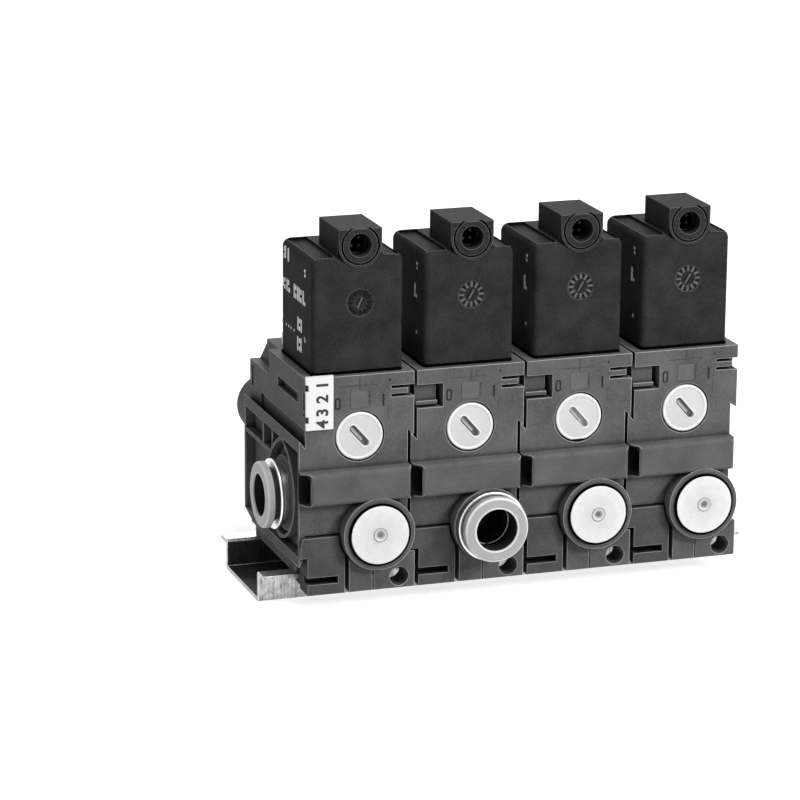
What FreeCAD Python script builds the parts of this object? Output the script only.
import FreeCAD, Part
import math
import os

# Four-station block of small solenoid valves, latched side by side on one 35 mm mounting rail.
# Millimetres. X runs along the rail, the fronts of the valves face -Y, Z is up.
# The origin is the middle of the rail's underside.

os.makedirs("parts", exist_ok=True)
V = FreeCAD.Vector

# Mounting rail, a 35 x 7.5 hat section
rail_length = 121.0
rail_left_overhang = 8.0
rail_width = 35.0
rail_channel_width = 27.0
rail_height = 7.5
rail_thickness = 1.0
rail_bend_radius = 1.0

# Stations along the rail
station_count = 4
station_pitch = 27.2
outlet_station_number = 2
seam_gap = 0.3

# Cutters stand this far out of the faces that they cut
margin = 1.0

# Moulded valve body: places across (Y) and up (Z)
body_front = -23.25
body_back = 21.25
block_top = 56.05
block_inset = 0.45
shell_step = 1.5
shell_bottom = 10.8
lip_root = 39.4
lip_rise = 2.0
groove_top = 43.8
groove_depth = 0.6
groove_wall = 0.8
groove_end = 12.0
barb_bottom = 40.7
barb_rise = 1.5
shoe_overlap = 1.8
shoe_slope = 0.5

# Side of the body: hollows between a rim and ribs
side_wall = 1.0
side_depth = 2.4
side_floor = 13.0
side_ceiling = 38.5
rib_thickness = 0.8
rib_places = [-2.2, 5.2]
shelf_height = 32.4
arch_rim = 0.9
arch_half_width = 10.0
arch_apex_shift = -1.3
arch_shoulder_rise = 4.0
arch_bulge = 1.6
arch_lower_bulge = 4.2
collar_drop = 1.0
arch_apex = 38.0
arch_foot = 14.85
side_pocket_length = 16.0
side_pocket_height = 2.4
side_pocket_depth = 1.5
side_pocket_bottom = 49.05
side_pocket_start = -17.5
vent_radius = 0.7
vent_height = 51.9
vent_place = 6.4
shoulder_start = 5.3
shoulder_height = 49.95
shoulder_width = 3.0
slope_start = 15.5
slope_top = 55.1
slit_place = 18.4
slit_width = 1.9
slit_bottom = 43.65
slit_height = 5.25
back_step = 15.3
back_step_height = 11.95
back_step_fall = 0.6
back_step_climb = 0.8
back_step_edge = 0.5

# Front foot, port boss and bar of the body
foot_front = -24.5
foot_bottom = 4.1
foot_left = 10.8
foot_lip_height = 13.1
flange_clearance = 0.3
foot_line_x = 16.65
foot_line_width = 0.35
foot_line_depth = 0.3
hole_x = 23.1
hole_z = 6.9
hole_radius = 2.3
boss_x = 17.4
boss_z = 18.35
boss_radius = 8.7
bar_front = -27.0
bar_bottom = 26.25
bar_height = 7.85
bar_left = 1.1
bar_right = 24.9
bar_edge_radius = 1.0
bar_left_setback = 1.5
bar_right_setback = 2.6
exhaust_wall = 0.4
exhaust_sink = 0.6
exhaust_mouth_length = 5.5
exhaust_tail_radius = 1.5
exhaust_length = 22.0

# Rear hook under the rail's rear flange
hook_left = 8.0
hook_width = 10.0
hook_thickness = 2.4
hook_reach = 3.4
hook_toe = 1.8
hook_gap = 0.1
hook_seat = 1.0

# Label pocket and grip slots on the front of the body
label_pocket_width = 6.4
label_pocket_bottom = 46.85
label_pocket_height = 5.65
label_pocket_depth = 2.0
label_ledge_bottom = 47.4
label_ledge_height = 0.9
label_ledge_recess = 1.0
label_slot_width = 1.2
label_slot_depth = 5.0
grip_slot_left = 21.3
grip_slot_height = 0.7
grip_slot_depth = 2.5
grip_slot_places = [50.55, 52.55]
grip_inset_depth = 3.0
grip_inset_bottom = 50.05
grip_inset_height = 2.7

# Marker strip on the first station
marker_left = 0.4
marker_width = 6.6
marker_bottom = 43.9
marker_height = 12.75
marker_thickness = 0.8
marker_notch = 0.7
marker_notch_places = [45.55, 53.15]
marker_notch_height = 1.6

# Supply gallery through all stations, along X
gallery_y = -8.2
gallery_z = 24.7
gallery_radius = 4.4
seal_seat_radius = 6.2
seal_seat_depth = 1.5
collar_ring_radius = 9.0

# Spool and its bore, along Y
spool_x = 7.4
spool_z = 35.85
spool_radius = 3.0
running_fit = 0.05
spool_front = -19.0
spool_back = 20.0
spool_stem_radius = 1.7
spool_land_cover = 0.2
spool_land_length = 4.0
spool_guide_place = 0.4
spool_end_gap = 0.5
exhaust_port_y = -15.2
outlet_port_y = -10.0
supply_port_y = -6.1
passage_radius = 1.0
pilot_radius = 0.6

# Rear cap over the spool bore
cap_radius = 7.5
cap_spigot_radius = 4.8
cap_spigot_length = 4.0
cap_bore_radius = 3.6
cap_end_wall = 2.0
cap_edge_radius = 1.6

# Manual override dial
dial_x = 13.55
dial_z = 41.5
dial_radius = 5.7
dial_gap = 0.4
dial_thickness = 2.2
dial_pocket_depth = 2.5
dial_shaft_radius = 2.0
dial_shaft_length = 8.0
dial_slot_length = 6.4
dial_slot_width = 1.7
dial_slot_depth = 1.2
dial_slot_angle = 131.0
dial_pin_radius = 0.7
dial_pin_offset = 1.0
dial_pin_length = 1.5
dial_flat_station_number = 3
dial_flat_height = 5.4

# Rail latch, a slab with a claw under the rail's front flange
latch_left = 0.7
latch_width = 9.05
latch_top = 18.05
latch_thickness = 6.2
latch_boss_gap = 0.5
latch_claw_top = 6.2
latch_claw_gap = 0.4
latch_claw_side = 0.9
latch_slot_width = 7.4
latch_slot_bottom = 6.7
latch_slot_height = 1.7
latch_slot_depth = 3.0
latch_recess_gap = 0.3
latch_corner_height = 3.0
latch_corner_inset = 0.1
latch_ear_gap = 0.15
tongue_left = 2.6
tongue_width = 5.4
tongue_bottom = 11.75
tongue_height = 3.4
tongue_length = 8.0
tongue_fit = 0.1

# Coil housing with its connector turret
coil_width = 22.0
coil_depth = 24.3
coil_left = 2.7
coil_front = -21.4
coil_corner_radius = 1.4
coil_back_radius = 2.0
coil_rebate = 0.4
gutter_depth = 0.7
gutter_rim = 0.9
turret_left = 9.0
turret_width = 10.4
turret_depth = 14.9
turret_proud = 0.2
turret_top = 90.1
turret_rise = 6.25
socket_x = 14.2
socket_drop = 3.9
socket_radius = 2.75
socket_mouth_depth = 3.2
socket_inner_radius = 2.3
socket_ring_width = 1.45
socket_groove_width = 0.45
socket_groove_depth = 0.8
socket_line_depth = 0.25
socket_depth = 8.0
contact_radius = 0.4
contact_circle = 1.3
contact_length = 4.0
contact_count = 4
date_drop = 11.15
date_radius = 3.2
date_depth = 0.15

# Solenoid inside the coil: winding, core tube, armature and its spring
winding_inner_radius = 4.5
winding_outer_radius = 9.6
winding_floor = 3.3
winding_roof = 4.5
winding_gap = 0.1
tube_radius = 4.0
tube_bore_radius = 3.35
tube_bottom = 50.05
tube_roof = 2.5
tube_core_length = 12.35
tube_fit = 0.05
armature_bottom = 50.9
armature_travel = 0.8
spring_pocket_radius = 1.9
armature_pocket_depth = 8.0
core_pocket_depth = 3.0
armature_spring_radius = 1.4
armature_spring_wire = 0.45
armature_spring_turns = 6
spool_spring_radius = 2.5
spool_spring_wire = 0.7
spool_spring_turns = 5
spool_spring_length = 10.2

# Push-in fittings and blind plugs
port_radius = 7.4
port_depth = 9.5
sleeve_protrusion = 2.1
sleeve_rim_radius = 8.2
sleeve_rim_thickness = 0.7
sleeve_bore_radius = 6.2
sleeve_end_wall = 1.0
tube_hole_radius = 5.1
ring_stop_gap = 0.2
ring_flange_radius = 7.9
ring_flange_thickness = 1.7
ring_edge_radius = 0.7
ring_hub_length = 5.0
ring_travel = 1.2
grip_depth = 1.6
grip_thickness = 0.7
grip_teeth = 10
grip_cut_width = 0.7
grip_cut_depth = 0.6
tube_seal_depth = 5.0
tube_seal_radius = 0.55
plug_radius = 7.0
plug_protrusion = 0.6
plug_head_length = 3.0
plug_core_radius = 6.0
plug_seal_radius = 0.6
plug_dimple_radius = 1.0
plug_dimple_depth = 0.5
end_plug_length = 7.0
end_plug_head_radius = 7.6
end_plug_head = 1.0

# Places worked out from the sizes above
coil_top = turret_top - turret_rise
socket_z = turret_top - socket_drop
date_z = coil_top - date_drop
winding_bottom = block_top + winding_floor
winding_height = coil_top - winding_roof - winding_bottom
tube_top = coil_top - tube_roof
tube_core_bottom = tube_top - tube_core_length
half_channel = rail_channel_width / 2
half_rail = rail_width / 2
first_station_x = rail_left_overhang - rail_length / 2
block_right = station_pitch - seam_gap
shell_left = block_inset - shell_step
shell_right = block_right - shell_step
shell_gap = station_pitch + shell_left - shell_right
foot_back = -half_rail - flange_clearance
coil_centre_x = coil_left + coil_width / 2
coil_centre_y = coil_front + coil_depth / 2
cap_length = spool_back + spool_spring_length + cap_end_wall - body_back
bar_centre_z = bar_bottom + bar_height / 2
ring_reach = ring_flange_thickness + sleeve_protrusion + ring_travel + ring_stop_gap
reach = 100.0


def box(x0, x1, y0, y1, z0, z1):
    return Part.makeBox(x1 - x0, y1 - y0, z1 - z0, V(x0, y0, z0))


def rod(start, direction, radius, length):
    return Part.makeCylinder(radius, length, V(*start), V(*direction))


def ring(start, direction, outer, inner, length):
    return rod(start, direction, outer, length).cut(rod(start, direction, inner, length))


def drilling(start, end, radius):
    direction = V(*end) - V(*start)
    return Part.makeCylinder(radius, direction.Length, V(*start), direction)


def extruded(points, direction):
    wire = Part.makePolygon([V(*p) for p in points] + [V(*points[0])])
    return Part.Face(wire).extrude(V(*direction))


def along_x(points_yz, x0, x1):
    return extruded([(x0, y, z) for y, z in points_yz], (x1 - x0, 0, 0))


def along_y(points_xz, y0, y1):
    return extruded([(x, y0, z) for x, z in points_xz], (0, y1 - y0, 0))


def along_z(points_xy, z0, z1):
    return extruded([(x, y, z0) for x, y in points_xy], (0, 0, z1 - z0))


def vertical_edges(shape):
    return [e for e in shape.Edges if abs(e.tangentAt(e.FirstParameter).z) > 0.999]


def edges_near(shape, test):
    return [e for e in shape.Edges if test(e.CenterOfMass)]


def coil_spring(start, direction, radius, wire, length, turns):
    # One helix of round wire with open ends
    pitch = (length - wire) / turns
    helix = Part.makeHelix(pitch, pitch * turns, radius)
    section = Part.Wire(Part.Circle(V(radius, 0, 0), V(0, 1, 0), wire / 2).toShape())
    spring = Part.Wire(helix).makePipeShell([section], True, True)
    turn = FreeCAD.Rotation(V(0, 0, 1), V(*direction))
    lift = V(*direction).normalize() * (wire / 2)
    spring.Placement = FreeCAD.Placement(V(*start) + lift, turn)
    return spring


def obround_along_x(centre_y, centre_z, width, height, x0, x1):
    radius = width / 2
    straight = height - width
    lower = centre_z - straight / 2
    body = box(x0, x1, centre_y - radius, centre_y + radius, lower, lower + straight)
    for z in (lower, lower + straight):
        body = body.fuse(rod((x0, centre_y, z), (1, 0, 0), radius, x1 - x0))
    return body


def make_rail():
    section = [
        (-half_rail, rail_height - rail_thickness),
        (-half_rail, rail_height),
        (-half_channel + rail_thickness, rail_height),
        (-half_channel + rail_thickness, rail_thickness),
        (half_channel - rail_thickness, rail_thickness),
        (half_channel - rail_thickness, rail_height),
        (half_rail, rail_height),
        (half_rail, rail_height - rail_thickness),
        (half_channel, rail_height - rail_thickness),
        (half_channel, 0.0),
        (-half_channel, 0.0),
        (-half_channel, rail_height - rail_thickness),
    ]
    rail = along_x(section, -rail_length / 2, rail_length / 2)
    outer = edges_near(rail, lambda c: abs(c.x) < 1e-6 and (
        (abs(c.z) < 1e-6 and abs(abs(c.y) - half_channel) < 1e-6)
        or (abs(c.z - rail_height) < 1e-6
            and abs(abs(c.y) - half_channel + rail_thickness) < 1e-6)))
    return rail.makeFillet(rail_bend_radius, outer)


def body_outline():
    # Front view of the main block: the lower shell is shifted left and its hooked lip
    # takes the barb of the block beside it
    return along_y([
        (shell_left, shell_bottom),
        (shell_right, shell_bottom),
        (shell_right, barb_bottom + barb_rise),
        (block_right, barb_bottom),
        (block_right, block_top),
        (block_inset, block_top),
        (block_inset, lip_root),
        (shell_left, lip_root + lip_rise),
    ], body_front, body_back)


def body_shoe():
    # Core that stands on both rail flanges
    return along_x([
        (-half_rail, shell_bottom),
        (-half_rail + shoe_slope, rail_height),
        (half_channel + shoe_overlap, rail_height),
        (half_channel + shoe_overlap, shell_bottom),
    ], 0.0, shell_right)


def body_hook():
    toe_top = rail_height - rail_thickness - hook_gap
    outer = half_rail + hook_gap
    return along_x([
        (half_channel + shoe_overlap, back_step_height),
        (half_channel + shoe_overlap, rail_height),
        (outer, rail_height),
        (outer, toe_top),
        (outer - hook_reach, toe_top),
        (outer - hook_reach, toe_top - hook_toe),
        (outer + hook_thickness, toe_top - hook_toe),
        (outer + hook_thickness, back_step_height + hook_seat),
        (half_channel + shoe_overlap, back_step_height + hook_seat),
    ], hook_left, hook_left + hook_width)


def body_foot():
    foot = box(foot_left, shell_right, foot_front, foot_back, foot_bottom, boss_z)
    lip = along_y([
        (shell_right, foot_bottom),
        (block_right, foot_bottom),
        (block_right, foot_lip_height - seam_gap),
        (shell_right, foot_lip_height),
    ], foot_front, body_front - seam_gap / 2)
    low = box(shell_right, block_right, foot_front, foot_back, foot_bottom,
              rail_height - seam_gap)
    return foot.fuse([lip, low])


def body_bar():
    bar = along_z([
        (shell_left, body_front),
        (shell_left, body_front - bar_left_setback),
        (bar_left, bar_front),
        (bar_right, bar_front),
        (shell_right, body_front - bar_right_setback),
        (shell_right, body_front),
    ], bar_bottom, bar_bottom + bar_height)
    front = edges_near(bar, lambda c: abs(c.y - bar_front) < 1e-6)
    return bar.makeFillet(bar_edge_radius, front)


def arch_outline(grow):
    # Pointed arch around the supply port: each flank bulges away from the port's axis
    half = arch_half_width + grow
    shoulder = gallery_z + arch_shoulder_rise
    apex = V(0, gallery_y + arch_apex_shift, arch_apex + grow)
    back = V(0, gallery_y + half, shoulder)
    front = V(0, gallery_y - half, shoulder)
    foot = V(0, gallery_y, arch_foot - grow)
    curves = []
    for start, end, bulge in ((apex, back, arch_bulge), (back, foot, arch_lower_bulge),
                              (foot, front, arch_lower_bulge), (front, apex, arch_bulge)):
        middle = (start + end) / 2
        away = V(0, middle.y - gallery_y, middle.z - gallery_z).normalize()
        curves.append(Part.Arc(start, middle + away * bulge, end).toShape())
    return Part.Wire(curves)


def arch_prism(grow, x0, x1):
    shape = Part.Face(arch_outline(grow)).extrude(V(x1 - x0, 0, 0))
    shape.translate(V(x0, 0, 0))
    return shape


def side_hollows(index):
    x0 = shell_left - margin
    x1 = shell_left + side_depth
    front = body_front + side_wall
    back = body_back - side_wall
    hollow = box(x0, x1, front, back, side_floor, side_ceiling)
    for place in rib_places:
        hollow = hollow.cut(box(x0, x1, place, place + rib_thickness,
                                shelf_height, side_ceiling))
    hollow = hollow.cut(box(x0, x1, rib_places[0], back, shelf_height,
                            shelf_height + rib_thickness))
    hollow = hollow.cut(arch_prism(arch_rim, x0, x1))
    hollow = hollow.fuse(arch_prism(0.0, x0, x1).common(
        box(x0, x1, front, back, side_floor, side_ceiling)))
    hollow = hollow.cut(rod((x0, gallery_y, gallery_z), (1, 0, 0), collar_ring_radius,
                            x1 - x0))
    if index == 1:
        # The collar around the supply fitting is set back
        hollow = hollow.fuse(rod((x0, gallery_y, gallery_z), (1, 0, 0),
                                 collar_ring_radius, collar_drop + margin))
    return hollow


def outer_cuts():
    cuts = []
    # Room for the neighbour's shell on the right, below the barb
    cuts.append(along_y([
        (shell_right, rail_height - seam_gap),
        (shell_right + reach, rail_height - seam_gap),
        (shell_right + reach, barb_bottom),
        (block_right, barb_bottom),
        (shell_right, barb_bottom + barb_rise),
    ], body_front - seam_gap / 2, reach))
    # Groove above the left lip, behind the front wall
    cuts.append(along_y([
        (block_inset - margin, groove_top),
        (block_inset, groove_top),
        (block_inset + groove_depth, groove_top - groove_depth),
        (block_inset + groove_depth, lip_root),
        (block_inset, lip_root),
        (block_inset - margin, lip_root + lip_rise),
    ], body_front + groove_wall, groove_end))
    # Step at the lower back
    cuts.append(along_x([
        (back_step, 0.0),
        (back_step, back_step_height - back_step_fall),
        (body_back - back_step_edge, back_step_height + back_step_climb),
        (reach, back_step_height + back_step_climb),
        (reach, 0.0),
    ], -reach, reach))
    # Shoulders and sloping middle at the upper back
    for x0, x1 in ((-reach, shoulder_width), (block_right - shoulder_width, reach)):
        cuts.append(box(x0, x1, shoulder_start, reach, shoulder_height, reach))
    cuts.append(along_x([
        (slope_start, slope_top),
        (body_back, shoulder_height),
        (reach, shoulder_height),
        (reach, reach),
        (slope_start, reach),
    ], -reach, reach))
    # Side pocket, vent and back slit of the upper block
    pocket_end = side_pocket_start + side_pocket_length
    cuts.append(box(-reach, block_inset + side_pocket_depth, side_pocket_start, pocket_end,
                    side_pocket_bottom, side_pocket_bottom + side_pocket_height))
    cuts.append(rod((0.0, vent_place, vent_height), (1, 0, 0), vent_radius,
                    shoulder_width + 2 * margin))
    cuts.append(box(-reach, block_inset + side_pocket_depth, slit_place,
                    slit_place + slit_width, slit_bottom, slit_bottom + slit_height))
    return cuts


def front_cuts():
    cuts = []
    pocket_left = block_inset - margin
    pocket_right = block_inset + label_pocket_width
    pocket_top = label_pocket_bottom + label_pocket_height
    ledge_top = label_ledge_bottom + label_ledge_height
    pocket_floor = body_front + label_pocket_depth
    cuts.append(box(pocket_left, pocket_right, -reach, pocket_floor,
                    label_pocket_bottom, label_ledge_bottom))
    cuts.append(box(pocket_left, pocket_right, -reach, pocket_floor, ledge_top, pocket_top))
    cuts.append(box(pocket_left, pocket_right, -reach, body_front + label_ledge_recess,
                    label_pocket_bottom, pocket_top))
    cuts.append(box(pocket_right - label_slot_width, pocket_right, -reach,
                    body_front + label_slot_depth, label_pocket_bottom, pocket_top))
    for place in grip_slot_places:
        cuts.append(box(grip_slot_left, reach, -reach, body_front + grip_slot_depth,
                        place - grip_slot_height / 2, place + grip_slot_height / 2))
    cuts.append(box(shell_right, reach, -reach, body_front + grip_inset_depth,
                    grip_inset_bottom, grip_inset_bottom + grip_inset_height))
    cuts.append(rod((dial_x, body_front - margin, dial_z), (0, 1, 0),
                    dial_radius + dial_gap, dial_pocket_depth + margin))
    shaft_end = dial_thickness + dial_shaft_length + dial_pin_length + dial_gap
    cuts.append(rod((dial_x, body_front, dial_z), (0, 1, 0),
                    dial_shaft_radius + running_fit, shaft_end))
    cuts.append(box(foot_line_x - foot_line_width / 2, foot_line_x + foot_line_width / 2,
                    -reach, foot_front + foot_line_depth, foot_bottom, boss_z - boss_radius))
    cuts.append(rod((hole_x, foot_front - margin, hole_z), (0, 1, 0), hole_radius,
                    foot_back - foot_front + 2 * margin))
    return cuts


def latch_cuts():
    # Recess behind the latch slab, the slanted corner beside it and the tongue's channel
    recess_back = foot_front + latch_thickness + latch_recess_gap
    left = latch_left - latch_recess_gap
    recess = box(left, foot_left, -reach, recess_back, 0.0, latch_top + latch_recess_gap)
    corner = along_y([
        (shell_left - margin, shell_bottom - margin),
        (left + latch_corner_inset, shell_bottom - margin),
        (left + latch_corner_inset, shell_bottom + latch_corner_height),
        (shell_left, shell_bottom),
        (shell_left - margin, shell_bottom),
    ], -reach, recess_back)
    channel = box(tongue_left - tongue_fit, tongue_left + tongue_width + tongue_fit,
                  recess_back - margin, recess_back + tongue_length + tongue_fit,
                  tongue_bottom - tongue_fit, tongue_bottom + tongue_height + tongue_fit)
    return [recess, corner, channel]


def exhaust_cuts():
    # The exhaust gallery opens at the slanted left end of the bar
    width = body_front - bar_front - 2 * exhaust_wall + exhaust_sink
    centre = bar_front + exhaust_wall + width / 2
    gallery = obround_along_x(centre, bar_centre_z, width, bar_height - 2 * exhaust_wall,
                              shell_left - margin, bar_left + exhaust_mouth_length)
    tail = rod((0.0, centre, bar_centre_z), (1, 0, 0), exhaust_tail_radius,
               exhaust_length)
    rise = drilling((spool_x, centre, bar_centre_z),
                    (spool_x, exhaust_port_y, bar_centre_z), passage_radius)
    port = drilling((spool_x, exhaust_port_y, bar_centre_z),
                    (spool_x, exhaust_port_y, spool_z), passage_radius)
    return [gallery, tail, rise, port]


def inner_cuts(index):
    # Supply gallery, spool bore, outlet port and the passages between them
    cuts = [rod((shell_left - margin, gallery_y, gallery_z), (1, 0, 0), gallery_radius,
                station_pitch + 2 * margin)]
    if index == 1:
        cuts.append(rod((shell_left - margin, gallery_y, gallery_z), (1, 0, 0), port_radius,
                        port_depth + margin))
    else:
        cuts.append(rod((shell_left - margin, gallery_y, gallery_z), (1, 0, 0),
                        seal_seat_radius, seal_seat_depth + margin))
    if index == station_count:
        cuts.append(rod((shell_right - end_plug_length, gallery_y, gallery_z), (1, 0, 0),
                        seal_seat_radius, end_plug_length + margin))
    cuts.append(rod((spool_x, spool_front - spool_end_gap, spool_z), (0, 1, 0),
                    spool_radius + running_fit, reach))
    cuts.append(rod((spool_x, body_back - cap_spigot_length, spool_z), (0, 1, 0),
                    cap_spigot_radius, reach))
    cuts.append(rod((boss_x, bar_front - margin, boss_z), (0, 1, 0), port_radius,
                    port_depth + margin))
    chamber_end = bar_front + port_depth + passage_radius * 2
    cuts.append(rod((boss_x, bar_front, boss_z), (0, 1, 0), tube_hole_radius,
                    chamber_end - bar_front))
    cuts.append(drilling((boss_x - tube_hole_radius + passage_radius * 1.5,
                          chamber_end - passage_radius, boss_z + passage_radius),
                         (spool_x, outlet_port_y, spool_z), passage_radius))
    cuts.append(drilling((spool_x, supply_port_y, gallery_z),
                         (spool_x, supply_port_y, spool_z), passage_radius))
    cuts.append(rod((coil_centre_x, coil_centre_y, tube_bottom), (0, 0, 1), tube_radius,
                    reach))
    cuts.append(drilling((coil_centre_x - tube_radius / 2, coil_centre_y - tube_radius / 2,
                          tube_bottom + passage_radius),
                         (spool_x, spool_front - spool_end_gap / 2, spool_z + pilot_radius),
                         pilot_radius))
    return cuts


def make_body(index):
    body = body_outline()
    body = body.fuse([body_shoe(), body_foot(), body_bar(),
                      rod((boss_x, bar_front, boss_z), (0, 1, 0), boss_radius,
                          body_front - bar_front)])
    body = body.cut(outer_cuts())
    body = body.fuse(body_hook())
    body = body.cut([side_hollows(index)] + front_cuts() + latch_cuts())
    # The left half of the port boss runs back beside the latch
    boss_back = foot_front + latch_thickness + latch_recess_gap
    boss_side = rod((boss_x, bar_front, boss_z), (0, 1, 0), boss_radius,
                    boss_back - bar_front)
    body = body.fuse(boss_side.common(box(-reach, boss_x, -reach, reach, 0.0, reach)))
    body = body.cut(exhaust_cuts() + inner_cuts(index))
    return body.removeSplitter()


def make_coil():
    back = coil_front + coil_depth
    right = coil_left + coil_width
    housing = box(coil_left, right, coil_front, back, block_top, coil_top)
    housing = housing.makeFillet(coil_corner_radius, vertical_edges(housing))
    top_back = edges_near(housing, lambda c: abs(c.z - coil_top) < 1e-6
                          and abs(c.y - back) < 1e-6)
    housing = housing.makeFillet(coil_back_radius, top_back)
    # Shallow gutters beside the turret
    for x0, x1 in ((coil_left + gutter_rim, turret_left - gutter_rim),
                   (turret_left + turret_width + gutter_rim, right - gutter_rim)):
        housing = housing.cut(box(x0, x1, coil_front + gutter_rim, back - coil_back_radius,
                                  coil_top - gutter_depth, reach))
    turret_front = coil_front - turret_proud
    turret = box(turret_left, turret_left + turret_width, turret_front,
                 coil_front + turret_depth, socket_z, turret_top)
    turret = turret.fuse([
        box(turret_left, turret_left + turret_width, coil_front + gutter_rim,
            coil_front + turret_depth, coil_top - gutter_depth, socket_z),
        rod((turret_left + turret_width / 2, turret_front, socket_z), (0, 1, 0),
            turret_width / 2, gutter_rim + turret_proud)])
    turret = turret.cut(box(-reach, reach, -reach, reach, turret_top, 2 * reach))
    ring_radius = socket_radius + socket_ring_width
    housing = housing.fuse(turret)
    # Rebate at the foot
    foot = box(coil_left - margin, right + margin, coil_front - margin, back + margin,
               block_top, block_top + coil_rebate)
    inner = box(coil_left + coil_rebate, right - coil_rebate, coil_front + coil_rebate,
                back - coil_rebate, block_top, block_top + coil_rebate)
    housing = housing.cut(foot.cut(inner))
    # Connector socket with a groove around its ring, and the round date recess
    housing = housing.cut([
        rod((socket_x, coil_front - margin, socket_z), (0, 1, 0), socket_radius,
            socket_mouth_depth - turret_proud + margin),
        rod((socket_x, coil_front, socket_z), (0, 1, 0), socket_inner_radius, socket_depth),
        ring((socket_x, coil_front - margin, socket_z), (0, 1, 0),
             ring_radius + socket_groove_width, ring_radius, socket_line_depth + margin),
        ring((socket_x, coil_front - margin, socket_z), (0, 1, 0),
             ring_radius + socket_groove_width, ring_radius,
             socket_groove_depth + margin).common(
                 box(-reach, reach, -reach, reach, coil_top, reach)),
        rod((socket_x, coil_front - margin, date_z), (0, 1, 0), date_radius,
            date_depth + margin),
        rod((coil_centre_x, coil_centre_y, block_top), (0, 0, 1), tube_radius + tube_fit,
            tube_top + tube_fit - block_top),
        ring((coil_centre_x, coil_centre_y, winding_bottom), (0, 0, 1),
             winding_outer_radius + winding_gap, winding_inner_radius,
             winding_height + winding_gap),
    ])
    return housing


def make_winding():
    return ring((coil_centre_x, coil_centre_y, winding_bottom), (0, 0, 1),
                winding_outer_radius, winding_inner_radius, winding_height)


def make_core_tube():
    tube = rod((coil_centre_x, coil_centre_y, tube_bottom), (0, 0, 1), tube_radius,
               tube_top - tube_bottom)
    bore = rod((coil_centre_x, coil_centre_y, tube_bottom), (0, 0, 1), tube_bore_radius,
               tube_core_bottom - tube_bottom)
    pocket = rod((coil_centre_x, coil_centre_y, tube_core_bottom), (0, 0, 1),
                 spring_pocket_radius, core_pocket_depth)
    return tube.cut([bore, pocket])


def armature_top():
    return tube_core_bottom - armature_travel - running_fit


def make_armature():
    armature = rod((coil_centre_x, coil_centre_y, armature_bottom), (0, 0, 1),
                   tube_bore_radius - running_fit, armature_top() - armature_bottom)
    pocket = rod((coil_centre_x, coil_centre_y, armature_top() - armature_pocket_depth),
                 (0, 0, 1), spring_pocket_radius, armature_pocket_depth)
    return armature.cut(pocket)


def make_armature_spring():
    bottom = armature_top() - armature_pocket_depth
    return coil_spring((coil_centre_x, coil_centre_y, bottom), (0, 0, 1),
                       armature_spring_radius, armature_spring_wire,
                       tube_core_bottom + core_pocket_depth - bottom, armature_spring_turns)


def make_dial(index):
    dial = rod((dial_x, body_front, dial_z), (0, 1, 0), dial_radius, dial_thickness)
    if index == dial_flat_station_number:
        flat = box(-reach, reach, body_front, body_front + dial_thickness, -reach,
                   dial_z - dial_flat_height)
        dial = dial.cut(flat)
    shaft_start = body_front + dial_thickness
    dial = dial.fuse([
        rod((dial_x, shaft_start, dial_z), (0, 1, 0), dial_shaft_radius, dial_shaft_length),
        rod((dial_x + dial_pin_offset, shaft_start + dial_shaft_length, dial_z), (0, 1, 0),
            dial_pin_radius, dial_pin_length),
    ])
    half = (dial_slot_length - dial_slot_width) / 2
    slot = box(-half, half, body_front, body_front + dial_slot_depth, -dial_slot_width / 2,
               dial_slot_width / 2)
    for x in (-half, half):
        slot = slot.fuse(rod((x, body_front, 0), (0, 1, 0), dial_slot_width / 2,
                             dial_slot_depth))
    slot.rotate(V(0, 0, 0), V(0, 1, 0), -dial_slot_angle)
    slot.translate(V(dial_x, 0, dial_z))
    return dial.cut(slot)


def make_latch():
    back = foot_front + latch_thickness
    right = latch_left + latch_width
    slab = box(latch_left, right, foot_front, back, foot_bottom, latch_top)
    claw = box(latch_left + latch_claw_side, right - latch_claw_side, back,
               -half_channel - latch_claw_gap, foot_bottom, latch_claw_top)
    tongue = box(tongue_left, tongue_left + tongue_width, back, back + tongue_length,
                 tongue_bottom, tongue_bottom + tongue_height)
    # Ear over the corner of the body, cut back around the neighbour's boss
    ear = box(shell_left, latch_left, foot_front, body_front - latch_ear_gap,
              foot_lip_height + latch_ear_gap, latch_top)
    ear = ear.cut(rod((boss_x - station_pitch, foot_front - margin, boss_z), (0, 1, 0),
                      boss_radius + latch_boss_gap, latch_thickness))
    latch = slab.fuse([claw, tongue, ear])
    return latch.cut([
        rod((boss_x, foot_front - margin, boss_z), (0, 1, 0), boss_radius + latch_boss_gap,
            latch_thickness + margin),
        box(latch_left, latch_left + latch_slot_width, foot_front,
            foot_front + latch_slot_depth, latch_slot_bottom,
            latch_slot_bottom + latch_slot_height),
    ])


def spool_lands():
    # The front land shuts the exhaust when the spool has moved back, the middle one
    # shuts the supply at rest
    middle = supply_port_y - passage_radius - spool_land_cover
    return [
        (spool_front, exhaust_port_y - passage_radius - spool_land_cover),
        (middle, middle + spool_land_length),
        (spool_guide_place, spool_guide_place + spool_land_length),
        (spool_back - spool_land_length, spool_back),
    ]


def make_spool():
    spool = rod((spool_x, spool_front, spool_z), (0, 1, 0), spool_stem_radius,
                spool_back - spool_front)
    lands = [rod((spool_x, start, spool_z), (0, 1, 0), spool_radius, end - start)
             for start, end in spool_lands()]
    return spool.fuse(lands)


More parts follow.
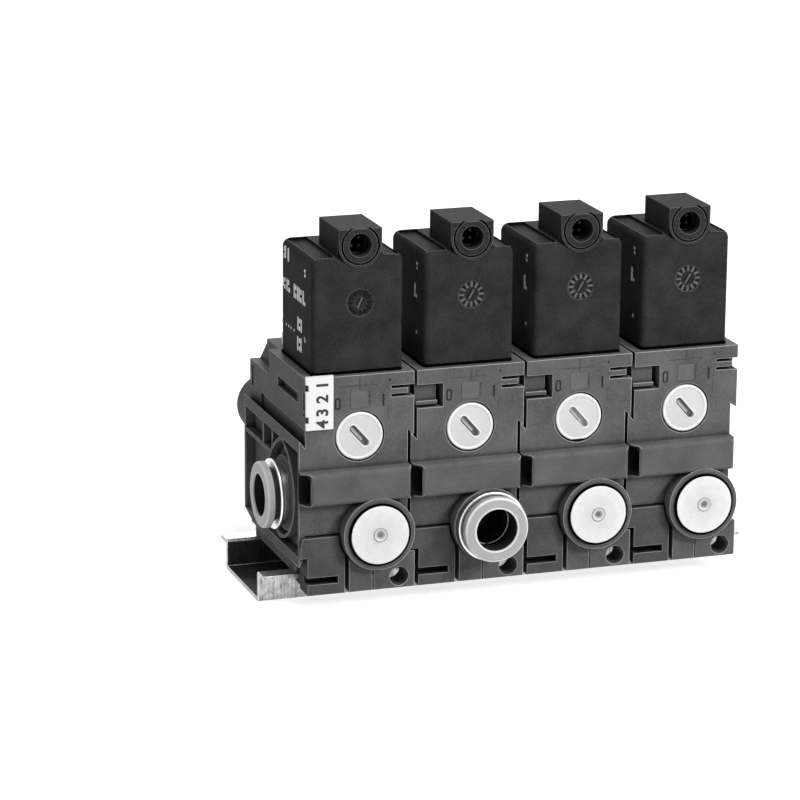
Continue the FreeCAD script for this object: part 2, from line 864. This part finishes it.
def make_rear_cap():
    cap = rod((spool_x, body_back, spool_z), (0, 1, 0), cap_radius, cap_length)
    end = edges_near(cap, lambda c: abs(c.y - body_back - cap_length) < 1e-6)
    cap = cap.makeFillet(cap_edge_radius, end)
    cap = cap.fuse(rod((spool_x, body_back - cap_spigot_length, spool_z), (0, 1, 0),
                       cap_spigot_radius, cap_spigot_length))
    return cap.cut(rod((spool_x, body_back - cap_spigot_length, spool_z), (0, 1, 0),
                       cap_bore_radius, cap_spigot_length + cap_length - cap_end_wall))


def make_spool_spring():
    return coil_spring((spool_x, spool_back, spool_z), (0, 1, 0), spool_spring_radius,
                       spool_spring_wire, spool_spring_length, spool_spring_turns)


# Push-in fitting pieces, drawn with the mouth of the port at the origin and depth along +Y
def fitting_sleeve():
    length = port_depth + sleeve_protrusion
    sleeve = rod((0, -sleeve_protrusion, 0), (0, 1, 0), port_radius, length)
    sleeve = sleeve.fuse(rod((0, -sleeve_protrusion, 0), (0, 1, 0), sleeve_rim_radius,
                             sleeve_rim_thickness))
    return sleeve.cut([
        rod((0, -sleeve_protrusion, 0), (0, 1, 0), sleeve_bore_radius,
            length - sleeve_end_wall),
        rod((0, 0, 0), (0, 1, 0), gallery_radius, port_depth),
    ])


def fitting_release_ring():
    flange = rod((0, -ring_reach, 0), (0, 1, 0), ring_flange_radius, ring_flange_thickness)
    rim = edges_near(flange, lambda c: abs(c.y + ring_reach) < 1e-6)
    flange = flange.makeFillet(ring_edge_radius, rim)
    hub = rod((0, -ring_reach, 0), (0, 1, 0), sleeve_bore_radius - running_fit,
              ring_hub_length)
    return flange.fuse(hub).cut(rod((0, -ring_reach, 0), (0, 1, 0), tube_hole_radius,
                                    ring_hub_length))


def fitting_grip_ring():
    grip = ring((0, grip_depth, 0), (0, 1, 0), sleeve_bore_radius, tube_hole_radius,
                grip_thickness)
    half = grip_cut_width / 2
    cutter = box(-half, half, grip_depth, grip_depth + grip_thickness, 0.0,
                 tube_hole_radius + grip_cut_depth)
    cuts = []
    for k in range(grip_teeth):
        cut = cutter.copy()
        cut.rotate(V(0, 0, 0), V(0, 1, 0), 360.0 * k / grip_teeth)
        cuts.append(cut)
    return grip.cut(cuts)


def fitting_seal():
    return Part.makeTorus(sleeve_bore_radius - tube_seal_radius, tube_seal_radius,
                          V(0, tube_seal_depth, 0), V(0, 1, 0))


def plug_piece():
    plug = rod((0, -plug_protrusion, 0), (0, 1, 0), plug_radius, plug_head_length)
    plug = plug.fuse(rod((0, 0, 0), (0, 1, 0), plug_core_radius, port_depth))
    return plug.cut(rod((0, -plug_protrusion, 0), (0, 1, 0), plug_dimple_radius,
                        plug_dimple_depth))


def plug_seal():
    middle = (plug_head_length - plug_protrusion + port_depth) / 2
    return Part.makeTorus(port_radius - plug_seal_radius, plug_seal_radius,
                          V(0, middle, 0), V(0, 1, 0))


def at_outlet(shape, index):
    placed = shape.copy()
    placed.translate(V(station_x(index) + boss_x, bar_front, boss_z))
    return placed


def at_supply(shape):
    placed = shape.copy()
    placed.rotate(V(0, 0, 0), V(0, 0, 1), -90)
    placed.translate(V(station_x(1) + shell_left, gallery_y, gallery_z))
    return placed


def make_marker():
    y0 = body_front - marker_thickness
    strip = box(marker_left, marker_left + marker_width, y0, body_front, marker_bottom,
                marker_bottom + marker_height)
    notches = [box(marker_left, marker_left + marker_notch, y0, body_front, z,
                   z + marker_notch_height) for z in marker_notch_places]
    return strip.cut(notches)


def make_gallery_seal():
    return ring((shell_left - shell_gap, gallery_y, gallery_z), (1, 0, 0), seal_seat_radius,
                gallery_radius, seal_seat_depth + shell_gap)


def make_end_plug():
    start = shell_right - end_plug_length
    plug = rod((start, gallery_y, gallery_z), (1, 0, 0), seal_seat_radius, end_plug_length)
    return plug.fuse(rod((shell_right, gallery_y, gallery_z), (1, 0, 0),
                         end_plug_head_radius, end_plug_head))


def make_contacts():
    pins = []
    for k in range(contact_count):
        angle = math.radians(360.0 * (k + 0.5) / contact_count)
        start = (socket_x + contact_circle * math.cos(angle),
                 coil_front + socket_depth - contact_length,
                 socket_z + contact_circle * math.sin(angle))
        pins.append(rod(start, (0, 1, 0), contact_radius, contact_length))
    return pins


def station_x(index):
    return first_station_x + (index - 1) * station_pitch


def at_station(shape, index):
    placed = shape.copy()
    placed.translate(V(station_x(index), 0, 0))
    return placed


def save(name, shapes):
    shape = shapes[0] if len(shapes) == 1 else Part.makeCompound(shapes)
    shape.exportStep("parts/" + name + ".step")
    bounds = shape.BoundBox
    print(name, len(shape.Solids), round(shape.Volume, 1), shape.isValid(),
          [round(v, 2) for v in (bounds.XMin, bounds.XMax, bounds.YMin, bounds.YMax,
                                 bounds.ZMin, bounds.ZMax)])


save("din_rail", [make_rail()])
save("marker_strip", [at_station(make_marker(), 1)])

stations = range(1, station_count + 1)
for index in stations:
    tail = "_" + str(index)
    save("valve_body" + tail, [at_station(make_body(index), index)])
    save("coil" + tail, [at_station(make_coil(), index)])
    save("winding" + tail, [at_station(make_winding(), index)])
    save("core_tube" + tail, [at_station(make_core_tube(), index)])
    save("armature" + tail, [at_station(make_armature(), index)])
    save("armature_spring" + tail, [at_station(make_armature_spring(), index)])
    save("override_dial" + tail, [at_station(make_dial(index), index)])
    save("rail_latch" + tail, [at_station(make_latch(), index)])
    save("spool" + tail, [at_station(make_spool(), index)])
    save("spool_spring" + tail, [at_station(make_spool_spring(), index)])
    save("rear_cap" + tail, [at_station(make_rear_cap(), index)])
    if index != outlet_station_number:
        save("front_plug" + tail, [at_outlet(plug_piece(), index)])

save("supply_sleeve", [at_supply(fitting_sleeve())])
save("supply_release_ring", [at_supply(fitting_release_ring())])
save("supply_grip_ring", [at_supply(fitting_grip_ring())])
save("outlet_sleeve", [at_outlet(fitting_sleeve(), outlet_station_number)])
save("outlet_release_ring", [at_outlet(fitting_release_ring(), outlet_station_number)])
save("outlet_grip_ring", [at_outlet(fitting_grip_ring(), outlet_station_number)])
save("tube_seals", [at_supply(fitting_seal()), at_outlet(fitting_seal(), outlet_station_number)])
save("plug_seals", [at_outlet(plug_seal(), i) for i in stations if i != outlet_station_number])
save("gallery_seals", [at_station(make_gallery_seal(), i) for i in stations if i > 1])
save("end_plug", [at_station(make_end_plug(), station_count)])
save("coil_contacts", [at_station(pin, i) for i in stations for pin in make_contacts()])
